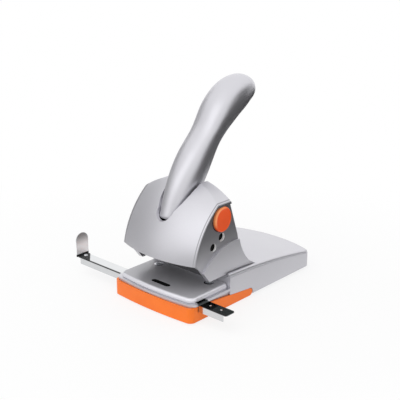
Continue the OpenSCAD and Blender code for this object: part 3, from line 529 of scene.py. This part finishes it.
def stop_sheet(name, colour):
    """Dull plated sheet of the end stop, with painted light and shade: its plate is painted dark
    as shade, and its tongue is painted pale at the foot and greyer towards the top as light
    falls."""
    sheet = Finish(name, Metallic=0.6)
    stain, lines = sheet.noise(90, 3.0), sheet.noise(90, 3.0, 0.6, sheet.stretched((30, 30, 1)))
    low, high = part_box("end_stop")
    foot, top = low.z / MM, high.z / MM
    # painted light: the tongue is pale at its foot and darker towards its top
    up = sheet.z.rise(foot + 0.4 * (top - foot), top - 1)
    tongue = sheet.mix(up, tone(colour, 1.4), tone(colour, 0.42))
    return sheet.feed(
        # painted shade: the plate on the ruler is painted near black
        Base_Color=sheet.mix(sheet.z.rise(foot + 2.6, foot + 3.4), tone(colour, 0.05), tongue),
        Roughness=0.36 + stain * 0.12 + lines * 0.1,
        Normal=sheet.bump(lines, 0.004))


def grained_plastic(name, colour):
    """Matt plastic with a pebbled skin."""
    plastic = Finish(name, IOR=1.45)
    pebbles = plastic.node("ShaderNodeTexVoronoi", {"feature": "SMOOTH_F1"},
                           {"Vector": plastic.place, "Scale": 1400.0, "Smoothness": 0.7})
    drift = plastic.noise(60, 3.0)
    return plastic.feed(
        Base_Color=plastic.mix(drift, tone(colour, 0.8), tone(colour, 1.3)),
        Roughness=0.5 + pebbles * 0.2,
        Normal=plastic.bump(pebbles, 0.05))


def soft_rubber(name, colour):
    """Rubber with a dull skin and a little dust."""
    rubber = Finish(name, IOR=1.5)
    dust, skin = rubber.noise(120, 4.0), rubber.noise(2000, 2.0)
    return rubber.feed(
        Base_Color=rubber.mix(dust.between(0.5, 0.8) * 0.4, tone(colour), tone(colour, 3.0)),
        Roughness=0.72 + dust * 0.16,
        Normal=rubber.bump(skin, 0.03))


FINISHES = {}


def finish(name):
    """The named finish, made once from the colours in the panel."""
    if name not in FINISHES:
        c = bpy.context.scene.punch_colours
        make = {
            "silver": lambda: silver_paint("silver_paint", c.silver),
            # the base's paint carries painted near-black shade below the window of the table
            "base": lambda: silver_paint("base_paint", c.silver, window_shade=True),
            # the head's paint carries painted shade on its recessed sides
            "head": lambda: silver_paint("head_paint", c.silver, recess_shade=0.7),
            "grip": lambda: silver_paint("grip_paint", c.silver, 0.95, 0.37),
            "table": lambda: table_paint("table_paint", c.table),
            "orange": lambda: gloss_plastic("orange_plastic", c.orange),
            "button": lambda: gloss_plastic("button_plastic", c.button, 0.3, c.button_rim_highlight),
            "steel": lambda: brushed_steel("ground_steel", c.steel),
            "turned": lambda: brushed_steel("turned_steel", c.steel, (40.0, 2.0, 2.0), 0.14),
            "bush": lambda: brushed_steel("bush_steel", c.bush, (40.0, 2.0, 2.0), 0.35, 0.2),
            # near-black steel: painted shade inside the bores
            "hole_shade": lambda: brushed_steel("hole_shade_steel", c.hole_shade, roughness=0.5),
            "blackened": lambda: brushed_steel("blackened_steel", c.blackened, roughness=0.3),
            "zinc": lambda: bright_zinc("bright_zinc", c.zinc, c.shade),
            "stop": lambda: stop_sheet("stop_sheet", c.zinc),
            "pan": lambda: grained_plastic("pan_plastic", c.pan),
            "rubber": lambda: soft_rubber("foot_rubber", c.rubber),
        }
        FINISHES[name] = make[name]()
    return FINISHES[name]


# ---------------------------------------------------------------- shapes


def grip_at(t):
    """The grip's middle line and section at places t along its stations: a Catmull-Rom curve
    through the stations, whose end stations are continued in a straight line."""
    ends = [2 * GRIP[:1] - GRIP[1:2], GRIP, 2 * GRIP[-1:] - GRIP[-2:-1]]
    s = np.concatenate(ends)
    i = np.clip(np.floor(t).astype(int), 0, len(GRIP) - 2)
    f = (t - i)[:, None]
    p0, p1, p2, p3 = s[i], s[i + 1], s[i + 2], s[i + 3]
    return 0.5 * (2 * p1 + (p2 - p0) * f + (2 * p0 - 5 * p1 + 4 * p2 - p3) * f ** 2
                  + (3 * p1 - p0 - 3 * p2 + p3) * f ** 3)


def grip_surface(rows, sides):
    """Skin of the grip. Each ring is a superellipse square to the middle line: its width goes
    with the cosine and its thickness with the sine of the angle, each raised to 2 over the
    station's squareness. The rings shrink on a quarter circle at the root and at the tip."""
    last = len(GRIP) - 1
    root = GRIP_ROOT / np.linalg.norm(GRIP[1, :2] - GRIP[0, :2])
    tip = GRIP_TIP / np.linalg.norm(GRIP[-1, :2] - GRIP[-2, :2])
    a = np.linspace(0, math.pi / 2, 8)[:-1]
    b = np.linspace(0, math.pi / 2, 18)[1:]
    share = GRIP_ROOT / GRIP[0, 3]
    t = np.concatenate([root * (1 - np.cos(a)), np.linspace(root, last - tip, rows),
                        last - tip * (1 - np.sin(b))])
    k = np.concatenate([1 - share * (1 - np.sin(a)), np.ones(rows), np.cos(b)])
    s = grip_at(t)
    d = grip_at(t + 0.01)[:, :2] - grip_at(t - 0.01)[:, :2]
    d /= np.linalg.norm(d, axis=1, keepdims=True)
    angle = np.linspace(0, TAU, sides, endpoint=False)[None, :]
    power = 2 / s[:, 4:5]
    w = (s[:, 2] * k)[:, None] * np.sign(np.cos(angle)) * np.abs(np.cos(angle)) ** power
    h = (s[:, 3] * k)[:, None] * np.sign(np.sin(angle)) * np.abs(np.sin(angle)) ** power
    return np.stack([w, s[:, :1] - d[:, 1:] * h, s[:, 1:2] + d[:, :1] * h], -1)


def cover_top(x):
    """Height of the cover's section above the axis of its long arc, at places x across it: a
    shallow crown that ends in two small quarter circles."""
    edge, rounding, rise = ARC_R + 1.2, 2.6, 2.2
    crown = (COVER_HW ** 2 + rise ** 2) / (2 * rise)
    high = edge + rounding + rise - crown + np.sqrt(crown ** 2 - x ** 2)
    side = np.clip(np.abs(x) - (COVER_HW - rounding), 0, rounding)
    return np.minimum(high, edge + np.sqrt(rounding ** 2 - side ** 2)
                      + np.where(side > 0, 0, 10))


def cover_rear(x):
    """Rear end of the cover at places x across it: a bow between two corner circles."""
    hw, y1, bow, r = COVER_HW, 164.9, 12.0, 9.0
    rad = (hw * hw + bow * bow) / (2 * bow)
    c = y1 + bow - rad
    k = c + math.sqrt((rad - r) ** 2 - (hw - r) ** 2)
    touch = (hw - r) * rad / (rad - r)
    u = np.abs(x)
    on_bow = c + np.sqrt(rad ** 2 - np.minimum(u, touch) ** 2)
    on_corner = k + np.sqrt(np.maximum(0, r ** 2 - (u - hw + r) ** 2))
    return np.where(u < touch, on_bow, on_corner)


def cover_block(x, y0, y1, lip):
    """One closed block of the cover over the places x, from y0 to y1(x). Its top lies on the
    crowned arc and falls on a quarter circle of radius lip at the rear, and its underside lies
    on the arc of the base's walls."""
    steps = 1 - np.linspace(1, 0, 48) ** 1.6
    x = x[None, :]
    y = y0 + (y1[None, :] - y0) * steps[:, None]
    top = ARC_Z + CROWN_UP + np.sqrt(cover_top(x) ** 2 - (y - ARC_Y + CROWN_BACK) ** 2)
    if lip:
        d = np.clip(y - (y1[None, :] - lip), 0, lip)
        top = top - lip + np.sqrt(lip ** 2 - d ** 2)
    low = ARC_Z + np.sqrt(ARC_R ** 2 - (y - ARC_Y) ** 2) - 0.02
    x = np.broadcast_to(x, y.shape)
    upper = np.stack([x, y, np.maximum(top, low + 0.05)], -1)
    under = np.stack([x, y, low], -1)
    block = Shell().grid(np.concatenate([upper, under[:, ::-1]], axis=1), wrap=True)
    return block.grid(np.stack([upper[0], under[0]])).grid(np.stack([upper[-1], under[-1]]))


def plate_rings():
    """The paper table from its underside to its top, as rings of its plan. Over the height of
    its rim the plan is drawn in on a quarter circle."""
    a = np.linspace(0, math.pi / 2, 10)
    draw = np.concatenate([[0.4, 0.0], TABLE_RIM * (1 - np.cos(a))])
    rise = np.concatenate([[0.0, 0.4], TABLE_THICK - TABLE_RIM * (1 - np.sin(a))])
    rings = []
    for d, h in zip(draw, rise):
        ring = plan_outline(TABLE_HW - d, TABLE_FRONT + d, TABLE_FRONT_BOW,
                            TABLE_CORNER - d + 0.01, TABLE_REAR, TABLE_REAR_BOW,
                            TABLE_REAR_CORNER, 16)
        rings.append(np.column_stack([ring, np.full(len(ring), TABLE_TOP - TABLE_THICK + h)]))
    return np.stack(rings)


def oval(cx, cy, half_length, radius, z0, z1):
    """Upright block with a plan of two half circles joined by straight lines."""
    ring = np.concatenate([arc((cx + half_length, cy), radius, -90, 90, 24),
                           arc((cx - half_length, cy), radius, 90, 270, 24)])
    return np.stack([np.column_stack([ring, np.full(len(ring), z)]) for z in (z0, z1)])


# ---------------------------------------------------------------- settings


class PunchSizes(PropertyGroup):
    """Sizes of the dressing and strengths of its light"""
    edge: FloatProperty(name="Casting edge", description="Rounding of the castings' edges",
                        default=0.0006, unit="LENGTH")
    grip_rows: IntProperty(name="Grip rows", description="Rings along the grip",
                           default=120, min=20)
    grip_sides: IntProperty(name="Grip sides", description="Points round the grip",
                            default=96, min=16)
    key: FloatProperty(name="Main light", description="Strength of the main light",
                       default=6.5, unit="POWER")
    fill: FloatProperty(name="Top light", description="Strength of the light above",
                        default=4.0, unit="POWER")
    sky: FloatProperty(name="Sky", description="Strength of the light from all round",
                       default=0.85)


def colour(name, words, value):
    """A colour that the panel offers."""
    return FloatVectorProperty(name=name, description=words, subtype="COLOR", default=value,
                               min=0, max=1)


class PunchColours(PropertyGroup):
    """Colours of the finishes"""
    silver: colour("Silver", "Metallic paint of the castings and the grip", (0.60, 0.595, 0.63))
    table: colour("Table", "Paint of the paper table", (0.56, 0.555, 0.59))
    orange: colour("Tray", "Plastic of the chip tray", (1.0, 0.2, 0.015))
    button: colour("Button", "Plastic of the lock button", (0.82, 0.09, 0.012))
    # painted highlight on the upper front of the button's rim
    button_rim_highlight: colour("Button rim", "Upper front of the button's rim", (1.0, 0.34, 0.12))
    steel: colour("Steel", "Bare ground steel", (0.62, 0.63, 0.65))
    bush: colour("Bushes", "Bright steel of the bushes", (1.0, 1.0, 1.0))
    blackened: colour("Blackened steel", "Levers and guide", (0.12, 0.12, 0.125))
    # painted shade: near black for the ends of the axle and the shaft and the seats inside the
    # bores
    hole_shade: colour("Deep steel", "Ends of the axle and the shaft", (0.01, 0.01, 0.01))
    zinc: colour("Zinc", "Plated ruler and end stop", (0.66, 0.67, 0.68))
    # painted dark reflection on the ruler's top
    shade: colour("Ruler top", "Dark part of the ruler's top", (0.045, 0.06, 0.055))
    pan: colour("Pan", "Plastic under the base", (0.035, 0.035, 0.04))
    rubber: colour("Rubber", "Feet", (0.02, 0.02, 0.02))


# ---------------------------------------------------------------- pieces


class PUNCH_OT_head(Operator):
    """Adds the head's casting with soft edges"""
    bl_idname = "punch.head"
    bl_label = "Head"

    def execute(self, context):
        edge = context.scene.punch_sizes.edge / MM
        recast("head_shell", "head_housing", finish("head"), "base", edge)
        return {"FINISHED"}


class PUNCH_OT_base(Operator):
    """Adds the base's casting with soft edges, and the pan under it"""
    bl_idname = "punch.base"
    bl_label = "Base"

    def execute(self, context):
        edge = context.scene.punch_sizes.edge / MM
        recast("base_shell", "base_body", finish("base"), "base", edge)
        recast("pan_plate", "bottom_pan", finish("pan"), "base", 0.4)
        return {"FINISHED"}


class PUNCH_OT_cover(Operator):
    """Adds the crowned cover of the base's rear"""
    bl_idname = "punch.cover"
    bl_label = "Rear cover"

    def execute(self, context):
        bend = np.linspace(-math.pi / 2, math.pi / 2, 161)
        x = COVER_HW * np.sin(bend)
        strip = np.linspace(COVER_IN, COVER_HW, 24)
        shell = cover_block(x, COVER_STEP, cover_rear(x), COVER_LIP)
        for side in (strip, -strip[::-1]):
            shell.join(cover_block(side, COVER_FRONT, np.full(len(side), COVER_STEP), 0))
        piece("cover_shell", shell.mesh("cover_shell"), finish("silver"), "base",
              ["rear_cover"])
        return {"FINISHED"}


class PUNCH_OT_table(Operator):
    """Adds the paper table with its round rim, its die holes and its window"""
    bl_idname = "punch.table"
    bl_label = "Paper table"

    def execute(self, context):
        table = piece("table_plate", solid(plate_rings(), "table_plate"), finish("table"),
                      "base", ["paper_table"])
        z0, z1 = TABLE_TOP - TABLE_THICK - 1, TABLE_TOP + 1
        holes = [solid(oval(x, 0, 0.001, DIE_R + 0.02, z0, z1), "die_hole")
                 for x in (-PUNCH_X, PUNCH_X)]
        window = solid(oval(0, WINDOW_Y, WINDOW_HALF, WINDOW_R, z0, z1), "window")
        carve(table, *holes, window)
        soften(table, 0.3, angle=60)
        table.data.shade_smooth()
        table.data.set_sharp_from_angle(angle=math.radians(40))
        rings = Shell()
        for x in (-PUNCH_X, PUNCH_X):
            rings.grid(turned(DIE_RING, (x, 0, 0), "z"), wrap=True)
        piece("die_rings", rings.mesh("die_rings"), finish("turned"), "base",
              ["die_bushes"])
        return {"FINISHED"}


class PUNCH_OT_grip(Operator):
    """Adds the grip of the lever"""
    bl_idname = "punch.grip"
    bl_label = "Grip"

    def execute(self, context):
        sizes = context.scene.punch_sizes
        skin = solid(grip_surface(sizes.grip_rows, sizes.grip_sides), "grip_skin")
        piece("grip_skin", skin, finish("grip"), "lever", ["handle"], sharp=50)
        return {"FINISHED"}


class PUNCH_OT_tray(Operator):
    """Adds the chip tray with soft edges"""
    bl_idname = "punch.tray"
    bl_label = "Chip tray"

    def execute(self, context):
        recast("tray_shell", "chip_tray", finish("orange"), "tray", 0.5)
        return {"FINISHED"}


class PUNCH_OT_button(Operator):
    """Adds the lock button with its pin and its stem"""
    bl_idname = "punch.button"
    bl_label = "Lock button"

    def execute(self, context):
        r, low, high = BUTTON_R, BUTTON_IN, BUTTON_OUT
        rim = arc((high - BUTTON_RIM, r - BUTTON_RIM), BUTTON_RIM, 90, 0, 10)
        face = [[high - 0.1, r - 2.4], [high - 0.5, r - 3.4], [high - 0.55, r - 4.2],
                [high - 0.4, 0]]
        profile = np.concatenate([[[low, 0], [low, r - 0.3], [low + 0.3, r]], rim, face])
        cap = turned(profile, (0, *BUTTON_AT), "x")
        cap[..., 1] = (BUTTON_AT[0] + BUTTON_SHIFT
                       + BUTTON_SHARE * (cap[..., 1] - BUTTON_AT[0]))
        shell = Shell().grid(cap, wrap=True)
        for (y, z), start in ((LOCK_PIN, LOCK_PIN_IN), (LOCK_STEM, LOCK_STEM_IN)):
            pin = rounded_profile(start, low + 0.1, LOCK_PIN_R, 0.4)
            shell.grid(turned(pin, (0, y, z), "x", 48), wrap=True)
        piece("button_cap", shell.mesh("button_cap"), finish("button"), "lock",
              ["lock_button"])
        return {"FINISHED"}


class PUNCH_OT_ruler(Operator):
    """Adds the sliding ruler with its end stop"""
    bl_idname = "punch.ruler"
    bl_label = "Ruler"

    def execute(self, context):
        recast("ruler_bar", "ruler", finish("zinc"), "ruler_body", 0.35)
        recast("stop_plate", "end_stop", finish("stop"), "ruler_body", 0.2)
        return {"FINISHED"}


class PUNCH_OT_springs(Operator):
    """Adds the two return springs and the spring of the lock button"""
    bl_idname = "punch.springs"
    bl_label = "Springs"

    def execute(self, context):
        height = SPRING_Z1 - SPRING_Z0
        wind = coil(SPRING_R, SPRING_WIRE, height, SPRING_TURNS)
        for side, name in ((1, "right"), (-1, "left")):
            mesh = solid(wind * [side, 1, 1] + [side * PUNCH_X, 0, SPRING_Z0], f"spring_{name}")
            spring = piece(f"spring_{name}", mesh, finish("steel"), "base",
                           [f"return_spring_{name}"])
            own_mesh(spring)
        low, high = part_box("lock_spring")
        wind = coil(LOCK_SPRING_R, LOCK_SPRING_WIRE, (high.x - low.x) / MM, SPRING_TURNS)
        along = np.stack([wind[..., 2], wind[..., 1], -wind[..., 0]], -1)
        spring = piece("spring_lock", solid(along + [low.x / MM, *LOCK_STEM], "spring_lock"),
                       finish("steel"), "base", ["lock_spring"])
        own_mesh(spring)
        return {"FINISHED"}


class PUNCH_OT_bushes(Operator):
    """Adds the bright bushes in the sides of the head"""
    bl_idname = "punch.bushes"
    bl_label = "Bushes"

    def execute(self, context):
        shell = Shell()
        for side in (1, -1):
            for (y, z), blind in ((PIVOT, True), (SHAFT, False)):
                lip = arc((BUSH_OUT - BUSH_LIP, BUSH_BORE + BUSH_LIP), BUSH_LIP, 90, -90, 8)
                inner = ([[BUSH_IN + BUSH_SEAT, BUSH_BORE], [BUSH_IN + BUSH_SEAT, AXLE_HOLE],
                          [BUSH_IN, AXLE_HOLE]] if blind else [[BUSH_IN, BUSH_BORE]])
                profile = np.concatenate([[[BUSH_IN, BUSH_R - 0.02]], lip, inner,
                                          [[BUSH_IN, BUSH_R - 0.02]]])
                profile[:, 0] *= side
                shell.grid(turned(profile, (0, y, z), "x", 64), wrap=True)
        rings = piece("bush_rings", shell.mesh("bush_rings"), finish("bush"), "base",
                      ["bushes"])
        # the lips outside the bores are painted with the head, and the seats inside are painted
        # near black as shade
        rings.data.materials.append(finish("head"))
        rings.data.materials.append(finish("hole_shade"))
        for face in rings.data.polygons:
            reach = min(math.hypot(face.center.y / MM - y, face.center.z / MM - z)
                        for y, z in (PIVOT, SHAFT))
            hole_shade = (abs(face.center.x) / MM < BUSH_IN + BUSH_SEAT + 0.01
                    and reach < BUSH_BORE - 0.1)
            face.material_index = 2 if hole_shade else int(reach > BUSH_BORE + 0.02)
        return {"FINISHED"}


class PUNCH_OT_feet(Operator):
    """Adds the four rubber feet"""
    bl_idname = "punch.feet"
    bl_label = "Feet"

    def execute(self, context):
        shell = Shell()
        profile = np.concatenate([[[0.35, 0], [0.35, FOOT_R - 2.4], [0, FOOT_R - 1.9]],
                                  arc((0.8, FOOT_R - 0.8), 0.8, 180, 90, 6),
                                  [[FOOT_H, FOOT_R], [FOOT_H, 0]]])
        for side in (1, -1):
            for x, y in FEET:
                shell.grid(turned(profile, (side * x, y, 0), "z", 64), wrap=True)
        piece("foot_pads", shell.mesh("foot_pads"), finish("rubber"), "base",
              ["rubber_feet"])
        return {"FINISHED"}


class PUNCH_OT_inner(Operator):
    """Gives the steel pieces of the mechanism their finishes"""
    bl_idname = "punch.inner"
    bl_label = "Mechanism"

    def execute(self, context):
        looks = {
            "blackened": ["punch_guide", "lever_core", "side_links", "punch_pins"],
            # the axle and the shaft are near black, as painted shade at their ends inside the
            # bores
            "hole_shade": ["pivot_axle", "press_shaft"],
            "steel": ["pan_screws", "head_bolts", "guide_screws", "press_bar", "ruler_spring",
                      "lock_ring"],
            "turned": ["handle_pins", "punch_left", "punch_right", "tray_pins",
                       "end_stop_rivet"],
        }
        for look, names in looks.items():
            for name in names:
                mesh = NODES[name].data
                mesh.materials.clear()
                mesh.materials.append(finish(look))
        return {"FINISHED"}


class PUNCH_OT_stage(Operator):
    """Adds the floor, the cards, the sky, the soft lights and the camera"""
    bl_idname = "punch.stage"
    bl_label = "Stage"

    def card(self, name, low, high, material):
        """A flat rectangle with two opposite corners at low and high, outside the object."""
        turn = next(i for i in range(3) if low[i] != high[i])
        second, last = list(low), list(high)
        second[turn], last[turn] = high[turn], low[turn]
        mesh = bpy.data.meshes.new(name)
        mesh.from_pydata([low, second, high, last], [], [(0, 1, 2, 3)])
        mesh.materials.append(material)
        obj = bpy.data.objects.new(name, mesh)
        bpy.context.scene.collection.objects.link(obj)
        return obj

    def grey(self, name, value, **fixed):
        """A finish of one grey value."""
        sheet = Finish(name, **fixed)
        sheet.shader.inputs["Base Color"].default_value = (value, value, value, 1)
        return sheet

    def lamp(self, name, place, size, power):
        """A square soft light that is aimed at the object."""
        light = bpy.data.lights.new(name, "AREA")
        light.size, light.energy = size, power
        obj = bpy.data.objects.new(name, light)
        obj.location = place
        obj.rotation_euler = (Vector(LIGHT_AIM) - obj.location).to_track_quat(
            "-Z", "Y").to_euler()
        bpy.context.scene.collection.objects.link(obj)
        return obj

    def seen(self, tree):
        """1 for rays that look at the background straight, in a mirror or through glass."""
        node = tree.tree.nodes.new("ShaderNodeLightPath")
        rays = [Signal(tree, node.outputs[n]) for n in
                ("Is Camera Ray", "Is Glossy Ray", "Is Transmission Ray")]
        return rays[0].greater(rays[1]).greater(rays[2])

    def execute(self, context):
        scene, sizes = context.scene, context.scene.punch_sizes
        # floor: it keeps some shadow near the object and is plain white further out
        floor = self.grey("pale_floor", 0.93, Roughness=0.9, Specular_IOR_Level=0.1)
        reach = (floor.x * floor.x + floor.y * floor.y) ** 0.5
        white = floor.node("ShaderNodeEmission", None, {"Color": (1, 1, 1, 1)})
        share = self.seen(floor) * (0.8 + 0.2 * reach.between(0.2, 0.5))
        both = floor.node("ShaderNodeMixShader", None,
                          {0: share, 1: Signal(floor, floor.shader.outputs[0]), 2: white})
        out = next(n for n in floor.tree.nodes if n.type == "OUTPUT_MATERIAL")
        floor.tree.links.new(both.socket, out.inputs["Surface"])
        self.card("floor", (-FLOOR_HALF, -FLOOR_HALF, 0), (FLOOR_HALF, FLOOR_HALF, 0),
                  floor.material)
        # cards
        shades = {name: self.grey(name, value, Roughness=1.0, Specular_IOR_Level=0.0).material
                  for name, value in (("dark_card", 0.02), ("grey_card", 0.5))}
        for name, shade, low, high in CARDS:
            card = self.card(name, low, high, shades[shade])
            for ray in ("camera", "diffuse", "transmission", "shadow"):
                setattr(card, f"visible_{ray}", False)
        # sky
        world = bpy.data.worlds.new("studio")
        scene.world = world
        world.use_nodes = True
        sky = Tree(world.node_tree)
        sky.tree.nodes.clear()
        lit = sky.node("ShaderNodeBackground", None, {"Color": (1, 1, 1, 1),
                                                      "Strength": sizes.sky})
        plain = sky.node("ShaderNodeBackground", None, {"Color": (1, 1, 1, 1), "Strength": 1.2})
        choice = sky.node("ShaderNodeMixShader", None, {0: self.seen(sky), 1: lit, 2: plain})
        end = sky.tree.nodes.new("ShaderNodeOutputWorld")
        sky.tree.links.new(choice.socket, end.inputs["Surface"])
        self.lamp("main_light", (0.1, -1.8, 1.5), 2.2, sizes.key)
        self.lamp("top_light", (-0.3, -0.5, 1.6), 1.4, sizes.fill).visible_glossy = False
        camera = bpy.data.cameras.new("camera")
        camera.lens, camera.sensor_width = CAMERA_LENS, 36.0
        camera.clip_start, camera.clip_end = 0.01, 50.0
        obj = bpy.data.objects.new("camera", camera)
        obj.location = CAMERA_AT
        obj.rotation_euler = (math.radians(90 - CAMERA_DOWN), 0, math.radians(CAMERA_TURN))
        scene.collection.objects.link(obj)
        scene.camera = obj
        scene.view_settings.view_transform = "Standard"
        return {"FINISHED"}


class PUNCH_PT_panel(Panel):
    """Lists the pieces of the punch and their settings"""
    bl_idname = "PUNCH_PT_panel"
    bl_label = "Lever punch"
    bl_space_type = "VIEW_3D"
    bl_region_type = "UI"
    bl_category = "Lever punch"

    def draw(self, context):
        for step in STEPS:
            self.layout.operator(step.bl_idname)
        for group in (context.scene.punch_sizes, context.scene.punch_colours):
            for name in group.__annotations__:
                self.layout.prop(group, name)


STEPS = (PUNCH_OT_base, PUNCH_OT_cover, PUNCH_OT_head, PUNCH_OT_table, PUNCH_OT_grip,
         PUNCH_OT_tray, PUNCH_OT_button, PUNCH_OT_ruler, PUNCH_OT_springs, PUNCH_OT_bushes,
         PUNCH_OT_feet, PUNCH_OT_inner, PUNCH_OT_stage)
CLASSES = (PunchSizes, PunchColours, *STEPS, PUNCH_PT_panel)


def register():
    for cls in CLASSES:
        bpy.utils.register_class(cls)
    bpy.types.Scene.punch_sizes = PointerProperty(type=PunchSizes)
    bpy.types.Scene.punch_colours = PointerProperty(type=PunchColours)


def unregister():
    del bpy.types.Scene.punch_colours
    del bpy.types.Scene.punch_sizes
    for cls in reversed(CLASSES):
        bpy.utils.unregister_class(cls)


def main():
    register()
    for step in STEPS:
        group, name = step.bl_idname.split(".")
        getattr(getattr(bpy.ops, group), name)()


if __name__ == "__main__":
    main()
